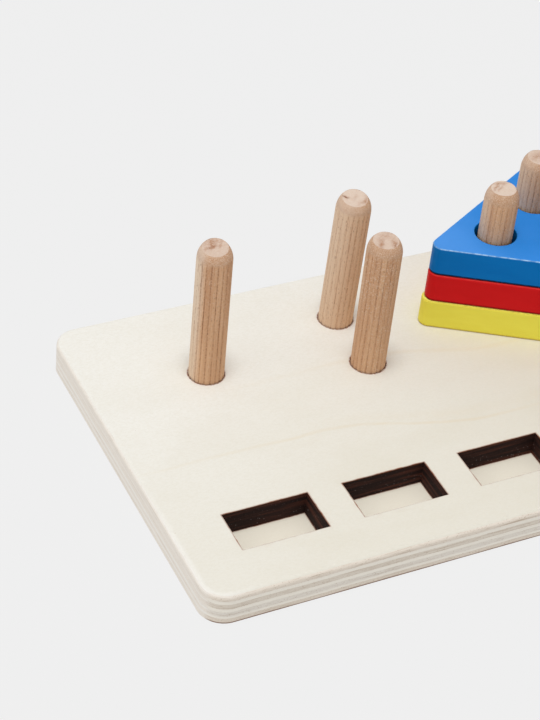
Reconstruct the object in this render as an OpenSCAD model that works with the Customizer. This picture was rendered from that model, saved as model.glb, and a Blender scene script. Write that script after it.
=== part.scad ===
// Peg stacking board: a plywood plate on a thin base sheet, fluted dowel pegs in groups of one,
// two, three and four, a stack of triangles and a stack of squares that lift off their pegs,
// and a row of rectangular sockets along the front edge.
// Millimetres. X runs along the board, Y to its back and Z up, from under the board's middle.

/* [Board] */
// Thickness of the top plate, which is also the depth of the sockets
plate_t = 7.3; // [5:0.1:10]
// Thickness of the base sheet under the plate
base_t = 2.1; // [1.5:0.1:4]
// Radius of the board's upright corners
board_corner_r = 7; // [4:0.5:13]
// Radius of the eased top edge of the plate
board_edge_r = 1.3; // [0.4:0.1:2]

/* [Rows and gaps] */
// From the left end to the single peg
single_x = 34.5; // [30:0.5:45]
// From the single peg to the line of the pair
pair_step = 45.1; // [40:0.1:55]
// From the line of the pair to the triangle's left tip
tri_gap = 20; // [15:0.1:30]
// From the triangle's right side to the square's left side
square_gap = 20.7; // [15:0.1:30]
// From the square's right side to the right end
end_gap = 12.6; // [10:0.1:20]
// From the back of the sockets to the middle of the pegs
row_gap = 53; // [45:0.5:65]
// From the middle of the pegs to the back edge
row_back = 31; // [30:0.5:40]

/* [Sockets] */
// Number of sockets
socket_count = 6; // [1:1:6]
// Length of a socket along X
socket_l = 24.6; // [18:0.1:28]
// Width of a socket along Y
socket_w = 13.5; // [10:0.1:18]
// Distance between the middles of two sockets
socket_pitch = 34.8; // [31:0.1:37]
// From the front edge to the sockets
socket_front = 14; // [10:0.5:20]

/* [Pegs] */
// Diameter of a peg
peg_d = 10; // [8:0.1:11]
// Length of a peg, with its foot on the base sheet
peg_l = 50.4; // [42:0.1:60]
// Distance between two pegs of a group
peg_pitch = 21; // [18:0.1:24]
// Height of the rounded end of a peg
peg_round_h = 4.2; // [1:0.1:5]
// How far the rounded end draws in
peg_round_in = 1.4; // [0.4:0.05:2]
// Number of flutes round a peg
flute_count = 20; // [12:1:24]
// Width of a flute at the surface
flute_w = 0.38; // [0.2:0.02:0.6]
// Depth of a flute
flute_depth = 0.34; // [0.15:0.01:0.6]
// Clearance round a peg in the plate
peg_play = 0.12; // [0.08:0.01:0.5]

/* [Stacking pieces] */
// Thickness of a piece
piece_t = 9.1; // [6:0.1:11]
// From the middle of a hole to the side of its piece
piece_rim = 11.4; // [9:0.1:13]
// Radius of a piece's upright corners
piece_corner_r = 3; // [1.5:0.1:6]
// Radius of a piece's eased edges
piece_edge_r = 0.7; // [0.3:0.1:1.2]
// Clearance round a peg in a piece
piece_play = 1.05; // [0.6:0.05:1.5]
// Countersink at the rims of a piece's holes
hole_ease = 0.3; // [0.1:0.05:0.5]
// How far the triangles sit turned on their pegs, in degrees
tri_turn = -1.1; // [-3:0.1:3]
// How far the squares sit turned on their pegs, in degrees
square_turn = 1; // [-2:0.5:2]

/* [Hidden] */
$fn = 64;
// Points along a rounded edge
ARC_STEPS = 5;
// Reach of a cut past the face that it opens
PAST = 1;
// Angle at which the rounded end of a peg meets its flat tip
TIP_ANGLE = 50;

// Regular outlines: both have an upright right side, so the triangle points to the left
TRI_SIDES = 3;
SQUARE_SIDES = 4;
tri_ring = peg_pitch / sqrt(3);
square_ring = peg_pitch / sqrt(2);
tri_in = tri_ring / 2 + piece_rim;
square_in = peg_pitch / 2 + piece_rim;
tri_tip = tri_in / cos(180 / TRI_SIDES);

// The board is as long and as wide as its rows need
board_l = single_x + pair_step + tri_gap + tri_tip + tri_in + square_gap + 2 * square_in + end_gap;
board_w = socket_front + socket_w + row_gap + row_back;
board_t = base_t + plate_t;

// Places of the rows and of the middles of the groups
row_y = board_w / 2 - row_back;
socket_y = -board_w / 2 + socket_front + socket_w / 2;
single_at = -board_l / 2 + single_x;
pair_at = single_at + pair_step;
tri_at = pair_at + tri_gap + tri_tip;
square_at = board_l / 2 - end_gap - square_in;
socket_at = [for (i = [0 : socket_count - 1]) (i - (socket_count - 1) / 2) * socket_pitch];

// Direction of a corner, counted anticlockwise from the end of the right side
function to_corner(sides, i) = (2 * i + 1) * 180 / sides;

// Place of a corner's peg
function on_ring(middle, ring, sides, i) = let (a = to_corner(sides, i))
    [middle + ring * cos(a), row_y + ring * sin(a)];

// Pegs: name, place, how far the flutes are turned and how far the peg leans to +X and +Y, in degrees
UPRIGHT = [0, 0];
PEGS = [
    ["peg_single", [single_at, row_y], 3, [0.1, 1.3]],
    ["peg_pair_back", [pair_at, row_y + peg_pitch / 2], 8, [1.05, -1]],
    ["peg_pair_front", [pair_at, row_y - peg_pitch / 2], 14, [-0.3, -0.6]],
    ["peg_tri_left", on_ring(tri_at, tri_ring, TRI_SIDES, 1), 5, UPRIGHT],
    ["peg_tri_back", on_ring(tri_at, tri_ring, TRI_SIDES, 0), 11, UPRIGHT],
    ["peg_tri_front", on_ring(tri_at, tri_ring, TRI_SIDES, 2), 0, UPRIGHT],
    ["peg_square_back_left", on_ring(square_at, square_ring, SQUARE_SIDES, 1), 7, UPRIGHT],
    ["peg_square_back_right", on_ring(square_at, square_ring, SQUARE_SIDES, 0), 2, UPRIGHT],
    ["peg_square_front_left", on_ring(square_at, square_ring, SQUARE_SIDES, 2), 13, UPRIGHT],
    ["peg_square_front_right", on_ring(square_at, square_ring, SQUARE_SIDES, 3), 9, UPRIGHT],
];

// Stacking pieces, from the plate up: name, paint and slip on the pegs as a share of the play
YELLOW = [0.84, 0.79, 0.24];
RED = [0.74, 0.1, 0.1];
BLUE = [0.2, 0.48, 0.85];
LAYERS = [
    ["yellow", YELLOW, [-0.57, 0.1]],
    ["red", RED, [0.1, 0]],
    ["blue", BLUE, [0.38, 0.19]],
];
BEECH = [0.76, 0.6, 0.47];
PLY = [0.92, 0.88, 0.78];
PLY_BASE = [0.85, 0.78, 0.65];

// Half section of a rim: from the corner's axis out to r, with its top and bottom edges rounded
function rim(r, h, top_r, bottom_r) = concat(
    [[0, 0]],
    bottom_r == 0 ? [[r, 0]] : [for (i = [0 : ARC_STEPS]) let (a = 90 * i / ARC_STEPS)
        [r - bottom_r + bottom_r * sin(a), bottom_r - bottom_r * cos(a)]],
    top_r == 0 ? [[r, h]] : [for (i = [0 : ARC_STEPS]) let (a = 90 * i / ARC_STEPS)
        [r - top_r + top_r * cos(a), h - top_r + top_r * sin(a)]],
    [[0, h]]
);

// Direction of the side that starts at a corner
function heading(axes, i) = let (n = len(axes), d = axes[(i + 1) % n] - axes[(i + n) % n]) atan2(d[1], d[0]);

// Plate with rounded corners: a flat middle, a bar of rim along each side and a turned rim at each corner.
// The middle reaches half way into the rim. The axes of the corners are listed anticlockwise.
module rounded_plate(axes, r, h, top_r, bottom_r) {
    n = len(axes);
    section = rim(r, h, top_r, bottom_r);
    middle = [for (i = [0 : n - 1], j = [i - 1, i]) let (a = heading(axes, (j + n) % n) - 90)
        axes[i] + r / 2 * [cos(a), sin(a)]];
    linear_extrude(h) polygon(middle);
    for (i = [0 : n - 1]) {
        from = heading(axes, (i + n - 1) % n);
        to = heading(axes, i);
        side = norm(axes[(i + 1) % n] - axes[i]);
        translate([axes[i][0], axes[i][1], 0]) {
            rotate([0, 0, from - 90]) rotate_extrude(angle = (to - from + 360) % 360) polygon(section);
            rotate([0, 0, to - 90]) translate([0, side, 0]) rotate([90, 0, 0])
                linear_extrude(side) polygon(section);
        }
    }
}

module board_outline(h, top_r) {
    x = board_l / 2 - board_corner_r;
    y = board_w / 2 - board_corner_r;
    rounded_plate([[-x, -y], [x, -y], [x, y], [-x, y]], board_corner_r, h, top_r, 0);
}

module base_sheet() {
    color(PLY_BASE) board_outline(base_t, 0);
}

module top_plate() {
    color(PLY) translate([0, 0, base_t]) difference() {
        board_outline(plate_t, board_edge_r);
        for (x = socket_at)
            translate([x - socket_l / 2, socket_y - socket_w / 2, -PAST])
                cube([socket_l, socket_w, plate_t + 2 * PAST]);
        for (p = PEGS)
            translate([p[1][0], p[1][1], 0]) rotate([-p[3][1], p[3][0], 0]) translate([0, 0, -PAST])
                cylinder(d = peg_d + 2 * peg_play, h = plate_t + 2 * PAST);
    }
}

// Rounded end of a peg: radius and height from the tip's side, from the full width to the flat tip
function peg_end() = [for (i = [0 : ARC_STEPS]) let (a = TIP_ANGLE * i / ARC_STEPS)
    [peg_d / 2 - peg_round_in * (1 - cos(a)) / (1 - cos(TIP_ANGLE)),
     peg_round_h * (1 - sin(a) / sin(TIP_ANGLE))]];

// Turned dowel with a V flute at each step round it, which runs out in the rounded ends
module dowel() {
    end = peg_end();
    last = len(end) - 1;
    upper = [for (e = end) [e[0], peg_l - e[1]]];
    lower = [for (i = [0 : last]) end[last - i]];
    difference() {
        rotate_extrude() polygon(concat([[0, 0]], lower, upper, [[0, peg_l]]));
        for (i = [0 : flute_count - 1])
            rotate([0, 0, i * 360 / flute_count]) translate([peg_d / 2, 0, -PAST])
                linear_extrude(peg_l + 2 * PAST)
                    polygon([[-flute_depth, 0], [flute_depth, -flute_w], [flute_depth, flute_w]]);
    }
}

// Dowel on the base sheet, with its foot cut level where it leans
module peg(at, turn, lean) {
    color(BEECH) translate([at[0], at[1], base_t]) difference() {
        rotate([-lean[1], lean[0], 0]) rotate([0, 0, turn]) dowel();
        if (lean != UPRIGHT) translate([-peg_d, -peg_d, -peg_d]) cube([2 * peg_d, 2 * peg_d, peg_d]);
    }
}

// Stacking piece: a regular outline blended from a puck at each corner, with a hole for each peg of its group
module piece(sides, inside, ring, turn, middle, level) {
    paint = LAYERS[level][1];
    slip = piece_play * LAYERS[level][2];
    reach = (inside - piece_corner_r) / cos(180 / sides);
    corners = [for (i = [0 : sides - 1]) let (a = to_corner(sides, i))
        [reach * cos(a), reach * sin(a)]];
    hole_d = peg_d + 2 * piece_play;
    color(paint) translate([middle + slip[0], row_y + slip[1], board_t + level * piece_t])
        rotate([0, 0, turn]) difference() {
            hull() for (c = corners)
                translate([c[0], c[1], 0])
                    rotate_extrude($fn = 36) polygon(rim(piece_corner_r, piece_t, piece_edge_r, piece_edge_r));
            for (i = [0 : sides - 1]) let (a = to_corner(sides, i))
                translate([ring * cos(a), ring * sin(a), 0]) {
                    translate([0, 0, -PAST]) cylinder(d = hole_d, h = piece_t + 2 * PAST);
                    cylinder(d1 = hole_d + 2 * hole_ease, d2 = hole_d, h = hole_ease);
                    translate([0, 0, piece_t - hole_ease])
                        cylinder(d1 = hole_d, d2 = hole_d + 2 * hole_ease, h = hole_ease);
                }
        }
}

module triangle(level) {
    piece(TRI_SIDES, tri_in, tri_ring, tri_turn, tri_at, level);
}

module square_piece(level) {
    piece(SQUARE_SIDES, square_in, square_ring, square_turn, square_at, level);
}

base_sheet();
top_plate();
for (p = PEGS)
    peg(p[1], p[2], p[3]);
for (level = [0 : len(LAYERS) - 1]) {
    triangle(level);
    square_piece(level);
}
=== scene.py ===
"""Dress the peg stacking board: bare plywood, fluted beech pegs and painted stacking pieces.

Shapes are in metres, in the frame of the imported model: X runs along the board, Y to its back and Z up,
from under the board's middle. Finishes are in millimetres in the same frame.
"""

import logging
import math
from dataclasses import dataclass, field, replace
from enum import Enum
from functools import cached_property, reduce

import bmesh
import bpy
import numpy as np
from mathutils import Matrix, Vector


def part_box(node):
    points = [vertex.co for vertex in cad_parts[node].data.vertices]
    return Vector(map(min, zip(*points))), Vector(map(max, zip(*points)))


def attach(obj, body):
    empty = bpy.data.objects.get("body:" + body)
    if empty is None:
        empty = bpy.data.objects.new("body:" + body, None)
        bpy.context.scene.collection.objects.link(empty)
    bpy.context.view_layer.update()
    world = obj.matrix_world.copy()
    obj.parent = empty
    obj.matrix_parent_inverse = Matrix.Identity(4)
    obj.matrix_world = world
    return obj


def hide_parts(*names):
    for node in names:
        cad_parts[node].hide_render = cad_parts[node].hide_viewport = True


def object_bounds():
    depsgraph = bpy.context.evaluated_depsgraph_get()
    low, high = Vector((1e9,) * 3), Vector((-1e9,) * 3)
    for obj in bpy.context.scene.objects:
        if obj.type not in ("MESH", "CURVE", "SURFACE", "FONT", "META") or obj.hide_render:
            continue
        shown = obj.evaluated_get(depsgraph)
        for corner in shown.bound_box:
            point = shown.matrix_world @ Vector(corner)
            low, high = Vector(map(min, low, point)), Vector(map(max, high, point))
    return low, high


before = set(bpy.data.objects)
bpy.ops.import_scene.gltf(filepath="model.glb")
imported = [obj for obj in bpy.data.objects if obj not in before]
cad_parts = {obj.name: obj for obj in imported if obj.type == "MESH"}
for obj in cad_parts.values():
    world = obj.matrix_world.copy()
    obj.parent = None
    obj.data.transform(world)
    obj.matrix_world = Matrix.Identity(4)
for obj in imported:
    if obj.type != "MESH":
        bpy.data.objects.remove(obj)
CAD_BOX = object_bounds()

LOG = logging.getLogger("stacking_board")
MM = 0.001
IMAGE_LONG_SIDE = 720
WELD_DISTANCE = 1e-7
NEVER_ZERO = 0.001

Colour = tuple[float, float, float, float]
Triple = tuple[float, float, float]
Stops = tuple[tuple[float, Colour], ...]
Signal = bpy.types.NodeSocket | float


def srgb(red: float, green: float, blue: float) -> Colour:
    """Turn a display colour into the linear colour that a shader takes.

    Args:
        red: Red from 0 to 255.
        green: Green from 0 to 255.
        blue: Blue from 0 to 255.

    Returns:
        The linear colour with full opacity.
    """
    part = np.array([red, green, blue]) / 255.0
    linear = np.where(part <= 0.04045, part / 12.92, ((part + 0.055) / 1.055) ** 2.4)
    return (float(linear[0]), float(linear[1]), float(linear[2]), 1.0)


class Shape(Enum):
    """Outline of a stacking piece, by its number of sides."""

    TRIANGLE = 3
    SQUARE = 4


class Layer(Enum):
    """Place of a stacking piece in its stack, from the plate up."""

    YELLOW = 0
    RED = 1
    BLUE = 2


@dataclass(frozen=True)
class Grain:
    """A noise: its cells for each millimetre along X, Y and Z, its octaves, their weight and its bend."""

    stretch: Triple
    detail: float = 2.0
    rough: float = 0.5
    bend: float = 0.0


@dataclass(frozen=True)
class Fade:
    """A level that eases from start to end while a value goes from low to high."""

    low: float
    high: float
    start: float = 0.0
    end: float = 1.0

    def moved(self, by: float) -> "Fade":
        """Give the same change of level further along the value."""
        return replace(self, low=self.low + by, high=self.high + by)


@dataclass(frozen=True)
class Pattern:
    """A noise, and how much of it shows."""

    grain: Grain
    shown: Fade


@dataclass(frozen=True)
class Specks:
    """Round specks: the distance between cells, the largest radius and the share of cells that have one."""

    cell: float
    size: float
    share: float
    rim: Fade = Fade(0.0, 0.6)


# Turns a share round, from 1 at 0 to 0 at 1
FALL = Fade(0.0, 1.0, 1.0, 0.0)


class Graph:
    """One material's node tree, built in short calls."""

    def __init__(self, name: str) -> None:
        """Start a material with a bare Principled shader.

        Args:
            name: Name of the material.
        """
        self.material = bpy.data.materials.new(name)
        self.material.use_nodes = True
        self.tree = self.material.node_tree
        self.tree.nodes.clear()
        out = self.tree.nodes.new("ShaderNodeOutputMaterial")
        self.shader = self.tree.nodes.new("ShaderNodeBsdfPrincipled")
        self.tree.links.new(self.shader.outputs[0], out.inputs[0])
        self.coords = self.tree.nodes.new("ShaderNodeTexCoord")

    def feed(self, socket: bpy.types.NodeSocket, value: Signal | Colour | Triple) -> None:
        """Link a socket to another node, or set its own value.

        Args:
            socket: Input socket to fill.
            value: Output socket to link, or a constant.
        """
        if isinstance(value, bpy.types.NodeSocket):
            self.tree.links.new(value, socket)
        else:
            socket.default_value = value

    def math(self, operation: str, first: Signal, second: Signal = 0.0, third: Signal = 0.0) -> Signal:
        """Add a Math node.

        Args:
            operation: Name of the operation.
            first: First value.
            second: Second value.
            third: Third value.

        Returns:
            The result's socket.
        """
        node = self.tree.nodes.new("ShaderNodeMath")
        node.operation = operation
        self.feed(node.inputs[0], first)
        self.feed(node.inputs[1], second)
        self.feed(node.inputs[2], third)
        return node.outputs[0]

    def chain(self, operation: str, values: tuple[Signal, ...]) -> Signal:
        """Carry one Math operation through several values, from the first to the last."""
        return reduce(lambda result, value: self.math(operation, result, value), values)

    def product(self, *factors: Signal) -> Signal:
        """Multiply values."""
        return self.chain("MULTIPLY", factors)

    def total(self, *terms: Signal) -> Signal:
        """Add values."""
        return self.chain("ADD", terms)

    def most(self, *values: Signal) -> Signal:
        """Take the largest of several values."""
        return self.chain("MAXIMUM", values)

    def least(self, *values: Signal) -> Signal:
        """Take the smallest of several values."""
        return self.chain("MINIMUM", values)

    def less(self, first: Signal, second: Signal) -> Signal:
        """Subtract the second value from the first."""
        return self.math("SUBTRACT", first, second)

    def size(self, value: Signal) -> Signal:
        """Drop a value's sign."""
        return self.math("ABSOLUTE", value)

    def past(self, value: Signal, middle: Signal, half: float) -> Signal:
        """Measure how far a value lies past the ends of a span.

        Args:
            value: Value to read.
            middle: Middle of the span.
            half: Half the span's length.

        Returns:
            The distance, below zero within the span.
        """
        return self.less(self.size(self.less(value, middle)), half)

    def outside(self, past_x: Signal, past_y: Signal) -> Signal:
        """Measure how far a point lies outside a rectangle.

        The length of the parts above zero of its distances past the sides, plus the larger of the two where
        both are below zero.

        Args:
            past_x: How far the point lies past the sides along X.
            past_y: How far it lies past them along Y.

        Returns:
            The distance, below zero inside.
        """
        inner = self.least(self.most(past_x, past_y), 0.0)
        square_x = self.math("POWER", self.most(past_x, 0.0), 2.0)
        square_y = self.math("POWER", self.most(past_y, 0.0), 2.0)
        return self.total(inner, self.math("SQRT", self.total(square_x, square_y)))

    def vector(self, operation: str, first: Signal, second: Signal | Triple) -> bpy.types.Node:
        """Add a Vector Math node.

        Args:
            operation: Name of the operation.
            first: First vector.
            second: Second vector.

        Returns:
            The node.
        """
        node = self.tree.nodes.new("ShaderNodeVectorMath")
        node.operation = operation
        self.feed(node.inputs[0], first)
        self.feed(node.inputs[1], second)
        return node

    def scaled(self, at: Signal, by: Triple) -> Signal:
        """Multiply a vector part by part."""
        return self.vector("MULTIPLY", at, by).outputs["Vector"]

    def distance(self, first: Signal, second: Triple) -> Signal:
        """Measure the distance between two points."""
        return self.vector("DISTANCE", first, second).outputs["Value"]

    def axes(self, vector: Signal) -> tuple[Signal, Signal, Signal]:
        """Split a vector into its three parts."""
        node = self.tree.nodes.new("ShaderNodeSeparateXYZ")
        self.feed(node.inputs[0], vector)
        return (node.outputs[0], node.outputs[1], node.outputs[2])

    def join(self, x: Signal, y: Signal, z: Signal) -> Signal:
        """Make a vector from three parts."""
        node = self.tree.nodes.new("ShaderNodeCombineXYZ")
        self.feed(node.inputs[0], x)
        self.feed(node.inputs[1], y)
        self.feed(node.inputs[2], z)
        return node.outputs[0]

    def millimetres(self) -> Signal:
        """Give the piece's Object coordinates in millimetres."""
        return self.scaled(self.coords.outputs["Object"], (1 / MM, 1 / MM, 1 / MM))

    def normal(self) -> tuple[Signal, Signal, Signal]:
        """Give the three parts of the direction that the surface faces."""
        return self.axes(self.coords.outputs["Normal"])

    def attribute(self, name: str) -> Signal:
        """Give a number that the mesh holds at each point."""
        node = self.tree.nodes.new("ShaderNodeAttribute")
        node.attribute_name = name
        return node.outputs["Fac"]

    def fade(self, value: Signal, fade: Fade) -> Signal:
        """Ease from one level to another as a value crosses a range.

        Args:
            value: Value to read.
            fade: The range and the levels.

        Returns:
            The eased level's socket.
        """
        node = self.tree.nodes.new("ShaderNodeMapRange")
        node.interpolation_type = "SMOOTHSTEP"
        self.feed(node.inputs["Value"], value)
        node.inputs["From Min"].default_value = fade.low
        node.inputs["From Max"].default_value = fade.high
        node.inputs["To Min"].default_value = fade.start
        node.inputs["To Max"].default_value = fade.end
        return node.outputs[0]

    def noise(self, at: Signal, grain: Grain) -> Signal:
        """Add a noise whose grain is set along each axis.

        Args:
            at: Coordinates in millimetres.
            grain: The noise.

        Returns:
            The noise, from 0 to 1.
        """
        node = self.tree.nodes.new("ShaderNodeTexNoise")
        self.feed(node.inputs["Vector"], self.scaled(at, grain.stretch))
        node.inputs["Scale"].default_value = 1.0
        node.inputs["Detail"].default_value = grain.detail
        node.inputs["Roughness"].default_value = grain.rough
        node.inputs["Distortion"].default_value = grain.bend
        return node.outputs[0]

    def pattern(self, at: Signal, pattern: Pattern) -> Signal:
        """Give how much of a noise shows at coordinates in millimetres."""
        return self.fade(self.noise(at, pattern.grain), pattern.shown)

    def sway(self, at: Signal, grain: Grain, width: float) -> Signal:
        """Give a noise that sways about zero, with a width from end to end."""
        return self.product(self.less(self.noise(at, grain), 0.5), width)

    def specks(self, at: Signal, specks: Specks) -> Signal:
        """Scatter small round specks, one in some of the cells of a Voronoi pattern.

        Args:
            at: Coordinates in millimetres.
            specks: Their spacing, size and share.

        Returns:
            1 in a speck and 0 elsewhere.
        """
        node = self.tree.nodes.new("ShaderNodeTexVoronoi")
        self.feed(node.inputs["Vector"], at)
        node.inputs["Scale"].default_value = 1.0 / specks.cell
        pick = self.axes(node.outputs["Color"])
        radius = self.product(pick[1], specks.size / specks.cell)
        inside = self.less(1.0, self.math("DIVIDE", node.outputs["Distance"], radius))
        chosen = self.math("LESS_THAN", pick[0], specks.share)
        return self.product(self.fade(inside, specks.rim), chosen)

    def ramp(self, value: Signal, stops: Stops, mode: str = "LINEAR") -> Signal:
        """Add a colour ramp.

        Args:
            value: Value from 0 to 1.
            stops: Places and colours along the ramp.
            mode: How the ramp goes from stop to stop.

        Returns:
            The colour's socket.
        """
        node = self.tree.nodes.new("ShaderNodeValToRGB")
        node.color_ramp.interpolation = mode
        elements = node.color_ramp.elements
        while len(elements) < len(stops):
            elements.new(0.5)
        for element, (place, colour) in zip(elements, stops):
            element.position = place
            element.color = colour
        self.feed(node.inputs[0], value)
        return node.outputs[0]

    def mix(self, share: Signal, first: Signal | Colour, second: Signal | Colour) -> Signal:
        """Mix two colours.

        Args:
            share: How much of the second colour to take.
            first: Colour at a share of 0.
            second: Colour at a share of 1.

        Returns:
            The colour's socket.
        """
        node = self.tree.nodes.new("ShaderNodeMix")
        node.data_type = "RGBA"
        self.feed(node.inputs[0], share)
        self.feed(node.inputs[6], first)
        self.feed(node.inputs[7], second)
        return node.outputs[2]

    def bump(self, height: Signal, depth: float, strength: float) -> None:
        """Give the shader a fine relief.

        Args:
            height: Height from 0 to 1.
            depth: Depth of the relief in metres.
            strength: How strongly it shows.
        """
        node = self.tree.nodes.new("ShaderNodeBump")
        node.inputs["Strength"].default_value = strength
        node.inputs["Distance"].default_value = depth
        self.feed(node.inputs["Height"], height)
        self.feed(self.shader.inputs["Normal"], node.outputs[0])

    def colour(self, value: Signal | Colour) -> None:
        """Set the shader's base colour."""
        self.feed(self.shader.inputs["Base Color"], value)

    def sheen(self, rough: Signal, specular: float) -> None:
        """Set how rough the surface is and how strongly it shines."""
        self.feed(self.shader.inputs["Roughness"], rough)
        self.feed(self.shader.inputs["Specular IOR Level"], specular)


@dataclass(frozen=True)
class Ring:
    """Place of a peg's hole in the board, in millimetres."""

    x: float
    y: float
    radius: float


@dataclass(frozen=True)
class GrowthLine:
    """A growth line in the face veneer, which shifts sideways along the board and fades to both ends."""

    left_x: float
    right_x: float
    left_y: float
    right_y: float
    width: float
    strength: float
    clear_at: float
    reach: float

    def band(self, graph: Graph, x: Signal, y: Signal) -> Signal:
        """Give how strongly the line shows.

        It falls off across the curve y = left + (right - left) * smoothstep(x), and along it from the place
        where it is clearest.

        Args:
            graph: Material's node tree.
            x: Place along X in millimetres.
            y: Place along Y in millimetres.

        Returns:
            The strength's socket.
        """
        middle = graph.fade(x, Fade(self.left_x, self.right_x, self.left_y, self.right_y))
        across = graph.size(graph.less(y, middle))
        along = graph.size(graph.less(x, self.clear_at))
        return graph.product(graph.fade(across, Fade(0.0, self.width, self.strength, 0.0)),
                             graph.fade(along, Fade(0.0, self.reach, 1.0, 0.0)))


@dataclass(frozen=True)
class PlyFinish:
    """Bare plywood: pale faces, banded edges and burnt walls where a laser cut it."""

    name: str
    face: Colour
    face_dark: Colour
    face_warm: Colour
    ring: Colour
    fleck: Colour
    edge_front: Stops
    edge_side: Stops
    burnt: Colour
    burnt_brown: Colour
    scorch: Colour
    singe: Colour
    ash: Colour
    # Colour of the painted highlight on the upper arris
    arris_gleam: Colour
    half_length: float
    half_width: float
    corner: float
    thickness: float
    floor: float
    socket_half: tuple[float, float]
    socket_pitch: float
    socket_y: float
    socket_count: int
    holes: tuple[Ring, ...]

    # Face veneer
    mottle: Pattern = Pattern(Grain((1.2, 1.9, 1.0), 4.0, 0.75), Fade(0.36, 0.68, 0.0, 0.55))
    cloud: Pattern = Pattern(Grain((0.03, 0.06, 0.06), 3.0, 0.55, 0.4), Fade(0.42, 0.68, 0.0, 0.12))
    pores: Pattern = Pattern(Grain((0.9, 4.4, 4.4), 2.0, 0.6), Fade(0.6, 0.8, 0.0, 0.28))
    warm_right: Fade = Fade(-110.0, 45.0, 0.0, 0.7)
    warm_front: Fade = Fade(-45.0, 25.0, 0.34, 0.0)
    warm_front_along: Fade = Fade(-75.0, -15.0, 1.0, 0.35)
    cool_back: Fade = Fade(0.0, 45.0, 0.0, -0.38)
    cool_back_along: Fade = Fade(-75.0, -20.0, 0.1, 1.0)
    lines: tuple[GrowthLine, ...] = (GrowthLine(-62.0, -12.0, -7.5, -17.9, 1.0, 0.42, -42.0, 100.0),
                                     GrowthLine(-62.0, -12.0, -5.0, -14.4, 3.5, 0.12, -25.0, 60.0),
                                     GrowthLine(-35.0, 5.0, 16.6, 8.8, 1.6, 0.28, 0.0, 110.0),
                                     GrowthLine(30.0, 95.0, 6.0, -5.0, 1.4, 0.45, 85.0, 70.0))
    line_bend: Grain = Grain((0.035, 0.0, 0.0))
    line_sway: float = 2.2
    line_breaks: Pattern = Pattern(Grain((0.06, 0.35, 0.35), 3.0, 0.6), Fade(0.3, 0.65, 0.45, 1.0))
    flecks: Specks = Specks(6.0, 0.24, 0.35)
    fleck_strength: float = 0.5

    # Plies at the edges
    ply_bend: Grain = Grain((0.06, 0.06, 0.0))
    ply_sway: float = 0.05
    fibres: Pattern = Pattern(Grain((0.3, 0.3, 4.0), 3.0, 0.65), Fade(0.5, 0.8, 0.0, 0.6))
    edge_pores: Pattern = Pattern(Grain((2.2, 2.2, 3.2), 2.0, 0.6), Fade(0.54, 0.78, 0.0, 0.75))
    threads: Pattern = Pattern(Grain((0.045, 0.045, 2.6), 4.0, 0.7), Fade(0.55, 0.68, 0.0, 0.75))
    marked_plies: Fade = Fade(0.74, 0.87, 1.0, 0.2)

    # Burnt walls, with heights from the socket's floor or from the plate's top
    char_stripes: Pattern = Pattern(Grain((0.04, 0.04, 0.75), 4.0, 0.62), Fade(0.42, 0.7, 0.0, 0.8))
    ash_specks: Specks = Specks(0.62, 0.32, 0.3)
    ash_over_floor: Fade = Fade(2.5, 4.5, 0.7, 0.2)
    singe_over_floor: Fade = Fade(0.0, 0.35, 0.5, 0.0)
    singe_under_top: Fade = Fade(-0.45, -0.1, 0.0, 0.6)

    # Rims of the cuts
    patches: Grain = Grain((0.35, 0.35, 0.35), 3.0, 0.6)
    off_cut: Fade = Fade(-0.3, -0.1)
    flamed: Fade = Fade(0.35, 0.7, 0.5, 1.0)
    behind_front_rim: Fade = Fade(-0.2, 0.2, 0.2, 1.0)
    socket_rim: Fade = Fade(0.08, 0.45, 1.0, 0.0)
    hole_rim: Fade = Fade(0.1, 0.45, 0.95, 0.0)
    torn: Pattern = Pattern(Grain((1.5, 1.5, 1.5), 2.0, 0.6), Fade(0.4, 0.6, 0.5, 1.0))
    halo: Fade = Fade(0.0, 2.2, 1.0, 0.0)
    halo_patches: Fade = Fade(0.4, 0.75, 0.0, 0.1)
    soot: Fade = Fade(-0.5, -0.05, 0.0, 0.15)

    # Painted highlight on the upper arris, strongest towards the front left corner
    arris_from_left: Fade = Fade(3.0, 16.0, 1.0, 0.0)
    arris_front: Fade = Fade(-45.0, 0.0, 0.26, 0.0)
    arris_width: Fade = Fade(-2.0, -0.8)
    arris_slope: Fade = Fade(0.3, 0.65)

    # Which way the surface faces
    upright: Fade = Fade(0.7, 0.9, 1.0, 0.0)
    upward: Fade = Fade(0.0, 0.3)
    sideways: Fade = Fade(0.8, 2.2)
    back_weight: float = 0.25
    well_inside: Fade = Fade(-4.0, -2.0, 1.0, 0.0)

    # Sheen and relief
    roughness: Fade = Fade(0.0, 1.0, 0.62, 0.8)
    specular: float = 0.2
    tooth: Grain = Grain((1.2, 5.0, 5.0), 3.0, 0.6)
    upright_tooth: Fade = Fade(0.0, 1.0, 0.4, 1.0)
    relief_depth: float = 0.1 * MM
    relief_strength: float = 0.5

    def outline_distance(self, graph: Graph, x: Signal, y: Signal) -> Signal:
        """Measure how far a point lies outside the board's outline, in millimetres.

        The outline is a rectangle whose sides are drawn in by the corners' radius, grown by that radius.

        Args:
            graph: Material's node tree.
            x: Place along X in millimetres.
            y: Place along Y in millimetres.

        Returns:
            The distance, below zero inside.
        """
        past_x = graph.past(x, 0.0, self.half_length - self.corner)
        past_y = graph.past(y, 0.0, self.half_width - self.corner)
        return graph.less(graph.outside(past_x, past_y), self.corner)

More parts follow.
